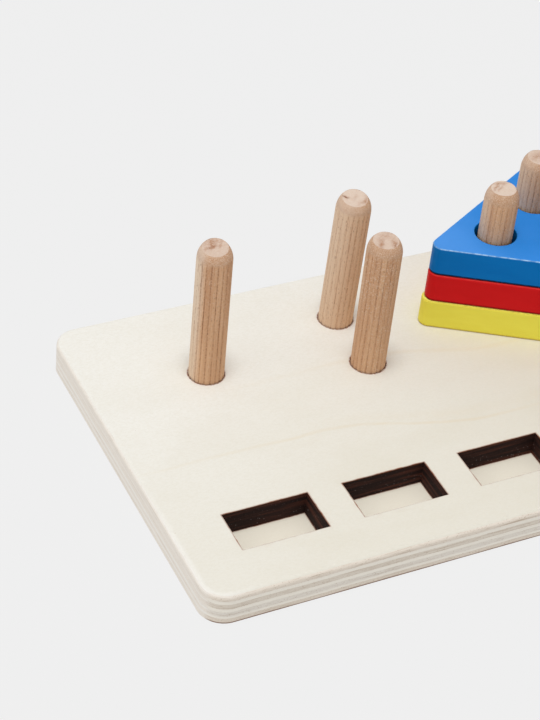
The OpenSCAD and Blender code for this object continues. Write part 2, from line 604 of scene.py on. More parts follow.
    def socket_distance(self, graph: Graph, x: Signal, y: Signal) -> Signal:
        """Measure how far a point lies outside the nearest socket, in millimetres.

        Args:
            graph: Material's node tree.
            x: Place along X in millimetres.
            y: Place along Y in millimetres.

        Returns:
            The distance, below zero over a socket.
        """
        half_row = self.socket_pitch * (self.socket_count - 1) / 2
        held = graph.least(graph.most(x, -half_row), half_row)
        cell = graph.math("FLOOR", graph.math("DIVIDE", held, self.socket_pitch))
        middle = graph.product(graph.total(cell, 0.5), self.socket_pitch)
        past_x = graph.past(x, middle, self.socket_half[0])
        past_y = graph.past(y, self.socket_y, self.socket_half[1])
        return graph.outside(past_x, past_y)

    def hole_distance(self, graph: Graph, x: Signal, y: Signal) -> Signal:
        """Measure how far a point lies outside the nearest peg hole, in millimetres.

        Args:
            graph: Material's node tree.
            x: Place along X in millimetres.
            y: Place along Y in millimetres.

        Returns:
            The distance, below zero over a hole.
        """
        flat = graph.join(x, y, 0.0)
        return graph.least(*(graph.less(graph.distance(flat, (hole.x, hole.y, 0.0)), hole.radius)
                             for hole in self.holes))

    def side_share(self, graph: Graph, to_x: Signal, to_y: Signal) -> Signal:
        """Tell the left and right edges from the front and the back, by the direction that they face.

        The direction's part along X is set against its part along Y, which counts less at the back, so that
        the back's rounded corners look like the side edges sooner.

        Args:
            graph: Material's node tree.
            to_x: Part of the direction along X.
            to_y: Part of the direction along Y.

        Returns:
            1 on the left and right edges, 0 on the front and the back.
        """
        forwards = graph.product(to_y, -1.0)
        backwards = graph.product(to_y, self.back_weight)
        aside = graph.math("DIVIDE", graph.size(to_x), graph.most(forwards, backwards, NEVER_ZERO))
        return graph.fade(aside, self.sideways)

    def face_colour(self, graph: Graph, at: Signal, x: Signal, y: Signal) -> Signal:
        """Colour the sanded face veneer.

        Fine mottle, a tone that is warmer to the right and the front and cooler at the back, short pores
        along X, a few growth lines that sway along X, and flecks.

        Args:
            graph: Material's node tree.
            at: Place in millimetres.
            x: Its part along X.
            y: Its part along Y.

        Returns:
            The colour's socket.
        """
        colour = graph.mix(graph.pattern(at, self.mottle), self.face, self.face_dark)
        front = graph.product(graph.fade(y, self.warm_front), graph.fade(x, self.warm_front_along))
        back = graph.product(graph.fade(y, self.cool_back), graph.fade(x, self.cool_back_along))
        warmth = graph.total(graph.fade(x, self.warm_right), front, back, graph.pattern(at, self.cloud))
        colour = graph.mix(warmth, colour, self.face_warm)
        colour = graph.mix(graph.pattern(at, self.pores), colour, self.face_dark)
        bent = graph.total(y, graph.sway(at, self.line_bend, self.line_sway))
        broken = graph.pattern(at, self.line_breaks)
        for line in self.lines:
            colour = graph.mix(graph.product(line.band(graph, x, bent), broken), colour, self.ring)
        flecks = graph.product(graph.specks(at, self.flecks), self.fleck_strength)
        return graph.mix(flecks, colour, self.fleck)

    def edge_colour(self, graph: Graph, at: Signal, z: Signal, faces_x: Signal) -> Signal:
        """Colour the plies at the outer edges by their height, with fibres and pores in the darker ones.

        Args:
            graph: Material's node tree.
            at: Place in millimetres.
            z: Its height.
            faces_x: 1 on the left and right edges, 0 on the front and the back.

        Returns:
            The colour's socket.
        """
        level = graph.total(graph.math("DIVIDE", z, self.thickness),
                            graph.sway(at, self.ply_bend, self.ply_sway))
        front = graph.ramp(level, self.edge_front, "EASE")
        side = graph.ramp(level, self.edge_side, "EASE")
        colour = graph.mix(faces_x, front, side)
        marks = graph.most(graph.pattern(at, self.fibres), graph.pattern(at, self.edge_pores),
                           graph.pattern(at, self.threads))
        green = graph.axes(colour)[1]
        return graph.mix(graph.product(marks, graph.fade(green, self.marked_plies)), colour, self.fleck)

    def char_colour(self, graph: Graph, at: Signal, z: Signal) -> Signal:
        """Colour the walls that the laser burnt: brown plies through soot, pale ash and singed edges.

        Args:
            graph: Material's node tree.
            at: Place in millimetres.
            z: Its height.

        Returns:
            The colour's socket.
        """
        colour = graph.mix(graph.pattern(at, self.char_stripes), self.burnt, self.burnt_brown)
        low = graph.fade(z, self.ash_over_floor.moved(self.floor))
        colour = graph.mix(graph.product(graph.specks(at, self.ash_specks), low), colour, self.ash)
        foot = graph.fade(z, self.singe_over_floor.moved(self.floor))
        top = graph.fade(z, self.singe_under_top.moved(self.thickness))
        return graph.mix(graph.most(top, foot), colour, self.singe)

    def singed_colour(self, graph: Graph, at: Signal, up: Signal) -> Signal:
        """Colour the faces: veneer, singed along the cuts' upper rims, least on the sockets' front side.

        Args:
            graph: Material's node tree.
            at: Place in millimetres.
            up: Part along Z of the direction that the surface faces.

        Returns:
            The colour's socket.
        """
        x, y, _ = graph.axes(at)
        to_socket = self.socket_distance(graph, x, y)
        to_hole = self.hole_distance(graph, x, y)
        near = graph.least(to_socket, to_hole)
        patches = graph.noise(at, self.patches)
        upward = graph.fade(up, self.upward)
        off_cut = graph.product(graph.fade(near, self.off_cut), upward)
        front_rim = self.socket_y - self.socket_half[1]
        blown = graph.product(graph.fade(patches, self.flamed),
                              graph.fade(y, self.behind_front_rim.moved(front_rim)))
        socket_rim = graph.product(graph.fade(to_socket, self.socket_rim), off_cut, blown)
        hole_rim = graph.product(graph.fade(to_hole, self.hole_rim), off_cut, graph.pattern(at, self.torn))
        halo = graph.product(graph.fade(near, self.halo), off_cut, graph.fade(patches, self.halo_patches))
        soot = graph.product(graph.fade(near, self.soot), upward, graph.fade(off_cut, FALL))
        face = self.face_colour(graph, at, x, y)
        face = graph.mix(graph.most(halo, soot), face, self.scorch)
        return graph.mix(graph.most(socket_rim, hole_rim), face, self.singe)

    def material(self) -> bpy.types.Material:
        """Build the plywood material.

        Where the surface stands upright, the colour goes by height through the plies, or is burnt where the
        wall lies well inside the outline. The upper arris carries a painted highlight towards the front left
        corner.

        Returns:
            The material.
        """
        graph = Graph(self.name)
        at = graph.millimetres()
        x, y, z = graph.axes(at)
        to_x, to_y, up = graph.normal()
        upright = graph.fade(graph.size(up), self.upright)
        outline = self.outline_distance(graph, x, y)
        inside = graph.fade(outline, self.well_inside)
        edge = self.edge_colour(graph, at, z, self.side_share(graph, to_x, to_y))
        wall = graph.mix(inside, edge, self.char_colour(graph, at, z))
        bare = graph.mix(upright, self.singed_colour(graph, at, up), wall)
        # Painted highlight on the upper arris, strongest towards the front left corner
        arris = graph.product(graph.fade(outline, self.arris_width), graph.fade(up, self.arris_slope),
                              graph.fade(x, self.arris_from_left.moved(-self.half_length)),
                              graph.fade(y, self.arris_front))
        graph.colour(graph.mix(arris, bare, self.arris_gleam))
        graph.sheen(graph.fade(graph.product(upright, inside), self.roughness), self.specular)
        relief = graph.product(graph.noise(at, self.tooth), graph.fade(upright, self.upright_tooth))
        graph.bump(relief, self.relief_depth, self.relief_strength)
        return graph.material


@dataclass(frozen=True)
class BeechFinish:
    """Bare beech dowel: streaks along its length, sapwood, ray flecks, dusty lands and sanded ends."""

    name: str
    light: Colour
    mid: Colour
    dark: Colour
    sapwood: Colour
    # Colour of the ray flecks, and of the painted shade in the flutes
    groove: Colour
    # Colour of the painted glow of light bounced from the board, low on the pegs
    bounce_glow: Colour
    dust: Colour
    sanded: Colour
    tip: Colour
    stain: Colour
    crack: Colour

    # Wood of the shaft, with heights from under the board
    streaks: Grain = Grain((0.55, 0.55, 0.02), 4.0, 0.6)
    streaks_shown: Fade = Fade(0.05, 0.45)
    tone_weight: float = -0.5
    threads: Pattern = Pattern(Grain((3.0, 3.0, 0.14), 3.0, 0.65), Fade(0.48, 0.78, 0.0, 0.5))
    rays: Pattern = Pattern(Grain((3.2, 3.2, 0.9), 1.0), Fade(0.61, 0.72, 0.0, 0.5))
    # Painted light bounced from the board: paler, warmer wood low down
    bounce_glow_height: Fade = Fade(4.0, 44.0, 0.3, 0.0)

    # Dust on the lands
    dust_cloud: Grain = Grain((0.12, 0.12, 0.1))
    dust_sway: float = 40.0
    dust_height: Fade = Fade(18.0, 50.0, 0.3, 0.6)
    powder: Pattern = Pattern(Grain((2.4, 2.4, 2.0), 4.0, 0.85), Fade(0.48, 0.66))
    dust_specks: Specks = Specks(0.62, 0.36, 0.45)

    # Painted shade in the flutes, broken into dashes
    flute_shade_breaks: Pattern = Pattern(Grain((1.8, 1.8, 2.3), 4.0, 0.8), Fade(0.4, 0.6, 0.1, 1.0))
    shade_height: Fade = Fade(8.0, 40.0, 0.8, 1.0)
    sapwood_shade: Fade = Fade(0.2, 1.0, 1.0, 0.55)

    # End grain
    browned: Pattern = Pattern(Grain((1.3, 1.8, 1.3), 4.0, 0.75, 0.6), Fade(0.36, 0.62, 0.5, 1.25))
    fuzz: Grain = Grain((2.4, 2.4, 2.4), 3.0, 0.75)
    fuzz_shown: Fade = Fade(0.5, 0.7, 0.0, 0.4)
    split_fuzz: Fade = Fade(0.3, 0.55, 0.5, 1.0)

    # Sanded shoulder
    sanding: Grain = Grain((3.6, 3.6, 3.6), 4.0, 0.85)
    sanding_shown: Fade = Fade(0.28, 0.7)
    shoulder_weight: float = 0.85
    shoulder_sapwood: float = 0.5

    # Sheen and relief
    roughness: float = 0.68
    specular: float = 0.12
    fibre: Grain = Grain((3.0, 3.0, 0.3), 3.0, 0.65)
    fibre_weight: float = 0.5
    shoulder_grit: Fade = Fade(0.0, 1.0, 0.5, 1.1)
    relief_depth: float = 0.2 * MM
    relief_strength: float = 0.7

    def wood_colour(self, graph: Graph, at: Signal, height: Signal) -> Signal:
        """Colour the bare wood, with streaks drawn out along Z and a painted glow of light bounced from the
        board near it.

        Args:
            graph: Material's node tree.
            at: Place in millimetres.
            height: Its part along Z.

        Returns:
            The colour's socket.
        """
        pale = graph.math("MULTIPLY_ADD", graph.attribute("tone"), self.tone_weight,
                          graph.noise(at, self.streaks))
        wood = graph.mix(graph.fade(pale, self.streaks_shown), self.light, self.mid)
        wood = graph.mix(graph.attribute("sapwood"), wood, self.sapwood)
        wood = graph.mix(graph.pattern(at, self.threads), wood, self.dark)
        wood = graph.mix(graph.pattern(at, self.rays), wood, self.groove)
        # Painted glow of light bounced from the board, low on the shaft
        return graph.mix(graph.fade(height, self.bounce_glow_height), wood, self.bounce_glow)

    def shaft_colour(self, graph: Graph, at: Signal, deep: Signal) -> Signal:
        """Colour the shaft: the wood, dusty near the tip, and painted shade in the flutes, broken into dashes.

        Args:
            graph: Material's node tree.
            at: Place in millimetres.
            deep: How deep a point lies in a flute.

        Returns:
            The colour's socket.
        """
        height = graph.axes(at)[2]
        wood = self.wood_colour(graph, at, height)
        lift = graph.total(graph.sway(at, self.dust_cloud, self.dust_sway), height)
        powder = graph.most(graph.pattern(at, self.powder), graph.specks(at, self.dust_specks))
        dusty = graph.product(powder, graph.fade(lift, self.dust_height), graph.attribute("dust"))
        wood = graph.mix(dusty, wood, self.dust)
        # Painted shade in the flutes, a little less low down and less on the sapwood
        shade = graph.product(deep, graph.fade(height, self.shade_height), graph.pattern(at, self.flute_shade_breaks),
                              graph.fade(graph.attribute("sapwood"), self.sapwood_shade))
        return graph.mix(shade, wood, self.groove)

    def end_colour(self, graph: Graph, at: Signal, deep: Signal) -> Signal:
        """Colour the flat end: pale end grain with brown stains, flecks and a split.

        Args:
            graph: Material's node tree.
            at: Place in millimetres.
            deep: How deep a point lies in the split.

        Returns:
            The colour's socket.
        """
        fuzz = graph.noise(at, self.fuzz)
        browned = graph.product(graph.attribute("stain"), graph.pattern(at, self.browned))
        colour = graph.mix(browned, self.tip, self.stain)
        colour = graph.mix(graph.fade(fuzz, self.fuzz_shown), colour, self.mid)
        return graph.mix(graph.product(deep, graph.fade(fuzz, self.split_fuzz)), colour, self.crack)

    def material(self) -> bpy.types.Material:
        """Build the beech material.

        The mesh's own numbers say how deep a point lies in a flute or split, how far it is into the sanded
        shoulder and the end grain, and where the sapwood and the stains are.

        Returns:
            The material.
        """
        graph = Graph(self.name)
        at = graph.millimetres()
        deep = graph.attribute("flute")
        shoulder = graph.attribute("shoulder")
        sanding = graph.noise(at, self.sanding)
        turned = graph.ramp(graph.fade(sanding, self.sanding_shown),
                            ((0.0, self.dark), (0.5, self.sanded), (1.0, self.dust)))
        pale = graph.product(graph.attribute("sapwood"), self.shoulder_sapwood)
        turned = graph.mix(pale, turned, self.tip)
        shaft = self.shaft_colour(graph, at, deep)
        side = graph.mix(graph.product(shoulder, self.shoulder_weight), shaft, turned)
        graph.colour(graph.mix(graph.attribute("end_grain"), side, self.end_colour(graph, at, deep)))
        graph.sheen(self.roughness, self.specular)
        grit = graph.product(sanding, graph.fade(shoulder, self.shoulder_grit))
        relief = graph.math("MULTIPLY_ADD", graph.noise(at, self.fibre), self.fibre_weight, grit)
        graph.bump(relief, self.relief_depth, self.relief_strength)
        return graph.material


@dataclass(frozen=True)
class PaintFinish:
    """Satin paint on a wooden piece: painted sheen on top, painted light on the upper edges, painted shade
    with soiling at the seams, a peel and pits.
    """

    name: str
    coat: Colour
    shade: Colour
    # Painted sheen: a paler colour on the upper faces that stands in for reflected light
    painted_sheen: Colour
    # Painted highlight on the upper edges; on the yellow piece a darker colour, painted shade
    arris_light_and_shade: Colour
    # Painted shade, mixed with soiling, at the seams between pieces; also the dark specks in the pits
    joint_shade_and_pit_dirt: Colour

    # Coat
    cloud: Grain = Grain((0.07, 0.07, 0.3), 3.0, 0.55)
    shade_shown: Fade = Fade(0.3, 0.75, 0.0, 0.5)
    grit: Grain = Grain((4.5, 4.5, 4.5), 2.0, 0.6)
    grit_shown: Fade = Fade(0.6, 0.82, 0.0, 0.5)

    # Painted sheen on the upper faces, strongest to the left
    upward: Fade = Fade(0.75, 0.98)
    painted_sheen_shown: Fade = Fade(0.3, 0.7, 0.75, 1.0)
    painted_sheen_along: Fade = Fade(-10.0, 18.0, 1.0, 0.78)
    left_sheen_along: Fade = Fade(-10.0, 14.0, 0.07, 0.0)

    # Painted highlight and shade on the eased edges and at the seams, and pits
    patchy: Grain = Grain((0.7, 0.7, 0.7), 3.0, 0.65)
    edge_light_shown: Fade = Fade(0.35, 0.65, 0.3, 1.0)
    joint_filled: Fade = Fade(0.3, 0.55, 0.6, 0.95)
    pits: Specks = Specks(2.2, 0.2, 0.22)
    pit_depth: float = 0.4

    # Sheen and relief
    peel: Grain = Grain((1.1, 1.1, 1.1), 3.0, 0.6)
    roughness: Fade = Fade(0.3, 0.75, 0.3, 0.42)
    specular: float = 0.06
    peel_weight: float = 0.7
    grit_weight: float = 0.3
    relief_depth: float = 0.12 * MM
    relief_strength: float = 0.35

    def material(self) -> bpy.types.Material:
        """Build the paint material.

        The upper faces carry a painted sheen, strongest to the left. The mesh's own numbers say where the
        edges
        are eased: the upper ones carry a painted highlight (painted shade on the yellow piece), and painted
        shade mixed with soiling sits at the seam under the lower ones. The pits hold dark specks.

        Returns:
            The material.
        """
        graph = Graph(self.name)
        at = graph.millimetres()
        x = graph.axes(at)[0]
        cloud = graph.noise(at, self.cloud)
        peel = graph.noise(at, self.peel)
        grit = graph.noise(at, self.grit)
        patchy = graph.noise(at, self.patchy)
        coat = graph.mix(graph.fade(cloud, self.shade_shown), self.coat, self.shade)
        coat = graph.mix(graph.fade(grit, self.grit_shown), coat, self.shade)
        top = graph.fade(graph.normal()[2], self.upward)
        # Painted sheen: the upper faces turn paler, most to the left
        sheen_share = graph.product(top, graph.fade(cloud, self.painted_sheen_shown), graph.fade(x, self.painted_sheen_along))
        coat = graph.mix(sheen_share, coat, self.painted_sheen)
        # Painted highlight on the eased upper edges (painted shade on the yellow piece), and painted sheen at
        # the left of the upper faces
        painted_light_share = graph.most(graph.product(graph.attribute("edge"), graph.fade(patchy, self.edge_light_shown)),
                          graph.product(top, graph.fade(x, self.left_sheen_along)))
        coat = graph.mix(painted_light_share, coat, self.arris_light_and_shade)
        # Painted shade, mixed with soiling, in the seam under the lower edges
        joint_shade_and_dirt = graph.product(graph.attribute("joint"), graph.fade(patchy, self.joint_filled))
        coat = graph.mix(joint_shade_and_dirt, coat, self.joint_shade_and_pit_dirt)
        pit = graph.product(graph.specks(at, self.pits), self.pit_depth)
        graph.colour(graph.mix(pit, coat, self.joint_shade_and_pit_dirt))
        graph.sheen(graph.fade(peel, self.roughness), self.specular)
        height = graph.total(graph.product(peel, self.peel_weight), graph.product(grit, self.grit_weight))
        graph.bump(graph.less(height, pit), self.relief_depth, self.relief_strength)
        return graph.material


def grid_faces(rows: int, columns: int, start: int = 0) -> np.ndarray:
    """Number the quads of a grid whose columns close into a ring.

    Args:
        rows: Points along the first parameter.
        columns: Points round the second parameter.
        start: Number of the grid's first point.

    Returns:
        Four point numbers for each face.
    """
    row, column = np.meshgrid(np.arange(rows - 1), np.arange(columns), indexing="ij")
    after = (column + 1) % columns
    quads = np.stack([row * columns + column, row * columns + after,
                      (row + 1) * columns + after, (row + 1) * columns + column], axis=-1)
    return quads.reshape(-1, 4) + start


def mesh_piece(name: str, points: np.ndarray, faces: list[list[int]], marks: dict[str, np.ndarray],
               sharp: float) -> bpy.types.Object:
    """Put a surface into a new object at the origin.

    Args:
        name: Name of the piece.
        points: Places of the points in metres.
        faces: Point numbers of each face.
        marks: Numbers that each point carries for its material, by name.
        sharp: Angle in degrees past which an edge is shaded sharp.

    Returns:
        The object.
    """
    mesh = bpy.data.meshes.new(name)
    mesh.from_pydata(points, [], faces)
    for key, values in marks.items():
        mark = mesh.attributes.new(key, "FLOAT", "POINT")
        mark.data.foreach_set("value", np.ascontiguousarray(values, dtype=np.float32))
    work = bmesh.new()
    work.from_mesh(mesh)
    bmesh.ops.remove_doubles(work, verts=work.verts, dist=WELD_DISTANCE)
    bmesh.ops.recalc_face_normals(work, faces=work.faces)
    work.to_mesh(mesh)
    work.free()
    mesh.shade_smooth()
    mesh.set_sharp_from_angle(angle=math.radians(sharp))
    piece = bpy.data.objects.new(name, mesh)
    bpy.context.scene.collection.objects.link(piece)
    return piece


def middle_of(node: str) -> np.ndarray:
    """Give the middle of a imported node's box, in metres."""
    low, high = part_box(node)
    return (np.array(low) + np.array(high)) / 2


@dataclass(frozen=True)
class EndMark:
    """A stain or a split in the end grain: its place and size in millimetres, its turn in degrees."""

    x: float
    y: float
    length: float
    width: float
    angle: float
    depth: float
    waver: float = 0.12
    waver_rate: float = 2.6

    def spread(self, x: np.ndarray, y: np.ndarray) -> np.ndarray:
        """Give the mark's depth at points, as exp(-(along / length)^2 - (across / width)^2).

        The mark wavers across its length by a sine.

        Args:
            x: Places along X in metres.
            y: Places along Y in metres.

        Returns:
            The depth at each point.
        """
        turn = math.radians(self.angle)
        right = x / MM - self.x
        back = y / MM - self.y
        along = right * math.cos(turn) + back * math.sin(turn)
        across = back * math.cos(turn) - right * math.sin(turn)
        across = across + self.waver * np.sin(self.waver_rate * along)
        return self.depth * np.exp(-(along / self.length) ** 2 - (across / self.width) ** 2)


@dataclass(frozen=True)
class Sapwood:
    """Paler wood down one side of a dowel: where it is centred, how wide and soft it is, and how pale."""

    angle: float = 0.0
    half_angle: float = 60.0
    soft: float = 40.0
    amount: float = 0.3

    def share(self, turn: np.ndarray) -> np.ndarray:
        """Give the share of sapwood at angles in radians, which eases off past its half angle."""
        away = np.degrees(np.arccos(np.clip(np.cos(turn - math.radians(self.angle)), -1, 1)))
        level = np.clip((self.half_angle + self.soft - away) / (2 * self.soft), 0, 1)
        return self.amount * level * level * (3 - 2 * level)


@dataclass(frozen=True)
class Blank:
    """The look of one dowel: its tone, its flutes' crispness and turn, dust, sapwood, stains and split."""

    tone: float = 0.5
    crisp: float = 0.6
    turn: float = 0.0
    dust: float = 0.6
    sapwood: Sapwood = Sapwood()
    browned: float = 0.2
    stains: tuple[EndMark, ...] = (EndMark(-0.9, 0.7, 2.2, 1.0, 30.0, 0.5),
                                   EndMark(1.4, -0.8, 1.6, 0.8, 110.0, 0.4))
    split: EndMark = EndMark(1.2, -0.6, 1.1, 0.16, 20.0, 0.35)


@dataclass
class Peg:
    """A fluted dowel on the base sheet, which leans a little where its hole was drilled askew."""

    node: str
    seed: int
    lean: tuple[float, float]
    askew: tuple[float, float]
    blank: Blank
    length: float = 50.4 * MM
    radius: float = 5.0 * MM
    round_in: float = 1.4 * MM
    round_height: float = 4.2 * MM
    tip_angle: float = math.radians(50)
    flutes: int = 20

    # Flutes: their size, how uneven they are, the eased land beside them and where they run out
    flute_depth: float = 0.22 * MM
    flute_width: float = 0.15 * MM
    dull_depth: float = 0.4
    depth_range: tuple[float, float] = (0.6, 1.1)
    width_range: tuple[float, float] = (0.75, 1.3)
    shift: float = 0.07
    land_depth: float = 0.5
    land_width: float = 3.2
    land_shade: float = 0.3
    swell: float = 0.2
    swell_along: float = 9.0
    swell_round: float = 2.3
    runout_start: float = 1.15
    runout_rate: float = 2.6

    # Turned surface: its bow, the sanded shoulder, the waves in the end and the split's depth
    bow: float = 0.02 * MM
    bow_along: float = 3.0
    bow_round: float = 2.0
    sanded_start: float = 0.25
    sanded_rate: float = 3.2
    wave_depth: float = 0.06 * MM
    wave_rates: tuple[float, float, float] = (2100.0, 1500.0, 3700.0)
    wave_slant: float = 0.6
    split_depth: float = 0.1 * MM

    # Fineness of the mesh
    samples: int = 16
    bunching: float = 0.35
    shaft_rings: int = 56
    end_rings: int = 16
    disc_rings: int = 24
    disc_span: tuple[float, float] = (0.99, 0.03)
    sharp: float = 25.0

    @cached_property
    def stance(self) -> np.ndarray:
        """Turn that leans the dowel to +X and +Y by its two angles in degrees."""
        to_x, to_y = np.radians(self.lean)
        about_x = np.array([[1, 0, 0], [0, math.cos(to_y), math.sin(to_y)],
                            [0, -math.sin(to_y), math.cos(to_y)]])
        about_y = np.array([[math.cos(to_x), 0, math.sin(to_x)], [0, 1, 0],
                            [-math.sin(to_x), 0, math.cos(to_x)]])
        return about_y @ about_x

    @cached_property
    def foot(self) -> np.ndarray:
        """Middle of the foot: half a length back along the axis from the middle of the node's box."""
        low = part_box(self.node)[0]
        place = middle_of(self.node) - self.stance[:, 2] * self.length / 2
        return np.array([place[0], place[1], low[2]])

    def at_height(self, height: float) -> np.ndarray:
        """Give the place of the dowel's axis at a height, in metres."""
        axis = self.stance[:, 2]
        return self.foot + axis * (height - self.foot[2]) / axis[2]

    def profile(self) -> tuple[np.ndarray, ...]:
        """Give the turned profile from the foot's middle to the tip's middle.

        The rounded end is part of an ellipse that leaves the shaft upright and meets the flat end at
        tip_angle.

        Returns:
            Radius, height, share of the flutes' depth, share of end grain and share of the shoulder at
            each ring.
        """
        turn = np.linspace(0.0, self.tip_angle, self.end_rings)
        draw = self.round_in * (1 - np.cos(turn)) / (1 - math.cos(self.tip_angle))
        rise = self.round_height * np.sin(turn) / math.sin(self.tip_angle)
        disc = (self.radius - self.round_in) * np.linspace(*self.disc_span, self.disc_rings)
        shaft = np.linspace(self.round_height, self.length - self.round_height, self.shaft_rings)[1:-1]
        radius = np.concatenate([disc[::-1], (self.radius - draw)[::-1], np.full(shaft.size, self.radius),
                                 self.radius - draw, disc])
        height = np.concatenate([np.zeros(disc.size), (self.round_height - rise)[::-1], shaft,
                                 self.length - self.round_height + rise, np.full(disc.size, self.length)])
        up_round = turn / self.tip_angle
        runout = np.clip(self.runout_start - up_round * self.runout_rate, 0, 1)
        sanded = np.clip(up_round * self.sanded_rate - self.sanded_start, 0, 1)
        flat = np.zeros(disc.size)
        ends = np.zeros(turn.size)
        fluted = np.concatenate([flat, runout[::-1], np.ones(shaft.size), runout, flat])
        grain = np.concatenate([flat + 1, ends, np.zeros(shaft.size), ends, flat + 1])
        shoulder = np.concatenate([flat, sanded[::-1], np.zeros(shaft.size), sanded, flat])
        return radius, height, fluted, grain, shoulder

    def flute_section(self, rng: np.random.Generator) -> tuple[np.ndarray, ...]:
        """Lay the flutes out round the dowel, each a little uneven in depth, width and place.

        A flute is exp(-(d / width)^2) deep, where d is the distance round the dowel to its middle, and a
        shallower, wider one eases the land beside it. The samples are bunched towards each flute's middle.

        Args:
            rng: Source of the unevenness.

        Returns:
            Angle, number of the nearest flute, its depth, share of the flute and share of the eased land at
            each sample.
        """
        spread = np.linspace(-0.5, 0.5, self.samples, endpoint=False)
        number = np.repeat(np.arange(self.flutes), self.samples)
        bunched = spread * (self.bunching + 4 * (1 - self.bunching) * spread ** 2)
        offset = np.tile(bunched, self.flutes)
        crisp = self.dull_depth + (1 - self.dull_depth) * self.blank.crisp
        depth = self.flute_depth * crisp * rng.uniform(*self.depth_range, self.flutes)[number]
        width = self.flute_width * rng.uniform(*self.width_range, self.flutes)[number]
        shift = rng.uniform(-self.shift, self.shift, self.flutes)[number]
        pitch = 2 * math.pi / self.flutes
        turn = (number + offset + shift) * pitch + math.radians(self.blank.turn)
        away = np.abs(offset) * pitch * self.radius
        groove = np.exp(-(away / width) ** 2)
        land = self.land_depth * np.exp(-(away / (self.land_width * width)) ** 2)
        return turn, number, depth, groove, land

    def end_waves(self, ring: np.ndarray, turn: np.ndarray, phase: np.ndarray) -> np.ndarray:
        """Give the waves in the flat end: the mean of three sines that cross it, from 0 to 1.

        Args:
            ring: Radius at each point in metres.
            turn: Angle of each column.
            phase: Where each sine starts, and how the three are turned on the end.

        Returns:
            The height of the waves at each point.
        """
        across = ring * np.cos(turn + phase[3])
        down = ring * np.sin(turn + phase[3])
        first, second, third = self.wave_rates
        slanted = across + self.wave_slant * down
        return (np.sin(first * across + phase[0]) + np.sin(second * down + phase[1])
                + np.sin(third * slanted + phase[2]) + 3) / 6

    def with_poles(self, grid: np.ndarray) -> np.ndarray:
        """List a grid's points or numbers row by row, and then the means of its first and its last row."""
        poles = np.stack([grid[0].mean(axis=0), grid[-1].mean(axis=0)])
        return np.concatenate([grid.reshape(-1, *grid.shape[2:]), poles])

    def cap_faces(self, rows: int, columns: int) -> list[list[int]]:
        """Number the triangles that close the foot and the tip, round a point after all the rings' points."""
        first = np.arange(columns)
        after = (first + 1) % columns
        last = (rows - 1) * columns
        foot = np.stack([np.full(columns, rows * columns), after, first], axis=-1)
        tip = np.stack([np.full(columns, rows * columns + 1), last + first, last + after], axis=-1)
        return foot.tolist() + tip.tolist()

    def build(self) -> bpy.types.Object:
        """Build the dowel's surface over its angle and its profile.

        The radius at an angle is the profile's, less the flutes' depth and a slight bow. The end falls off
        along its askew cut by the dot product of the place and the slope, is dished by a few waves and has
        one split.

        Returns:
            The piece.
        """
        rng = np.random.default_rng(self.seed)
        radius, height, fluted, grain, shoulder = (values[:, None] for values in self.profile())
        turn, number, depth, groove, land = self.flute_section(rng)
        phase = rng.uniform(0, 2 * math.pi, 6)
        along = height / self.length
        ripple = np.sin(self.swell_along * along + self.swell_round * number + phase[0])
        swell = 1 - self.swell + self.swell * ripple
        cut = depth * (groove + land) * swell * fluted
        bow = self.bow * (1 + np.sin(self.bow_round * turn + self.bow_along * along + phase[1]))
        end = grain >= 1
        ring = radius - cut - bow * ~end

        east = ring * np.cos(turn)
        north = ring * np.sin(turn)
        crack = self.blank.split.spread(east, north)
        stain = self.blank.browned + sum(mark.spread(east, north) for mark in self.blank.stains)
        slope = east * self.askew[0] + north * self.askew[1]
        slope = slope + (self.radius - self.round_in) * math.hypot(*self.askew)
        near_end = np.clip((height - self.length + self.round_height) / self.round_height, 0, 1)
        rough = self.wave_depth * self.end_waves(ring, turn, phase[2:]) + self.split_depth * crack
        dish = (rough * end + np.maximum(slope, 0)) * near_end
        points = self.foot + np.stack([east, north, height - dish], axis=-1) @ self.stance.T
        points[..., 2] = np.maximum(points[..., 2], self.foot[2])

        faces = grid_faces(*ring.shape).tolist() + self.cap_faces(*ring.shape)
        deep = np.clip((groove + self.land_shade * land) * fluted * swell * self.blank.crisp, 0, 1)
        levels = {"tone": self.blank.tone, "dust": self.blank.dust, "shoulder": shoulder, "end_grain": grain,
                  "flute": np.where(end, crack, deep), "sapwood": self.blank.sapwood.share(turn),
                  "stain": np.clip(stain, 0, 1)}
        marks = {mark: self.with_poles(np.broadcast_to(level, ring.shape)) for mark, level in levels.items()}
        piece = mesh_piece(self.node + "_dowel", self.with_poles(points), faces, marks, self.sharp)
        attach(piece, "board")
        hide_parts(self.node)
        return piece

    def dress(self, piece: bpy.types.Object, finish: bpy.types.Material) -> None:
        """Give the dowel its finish."""
        piece.data.materials.append(finish)


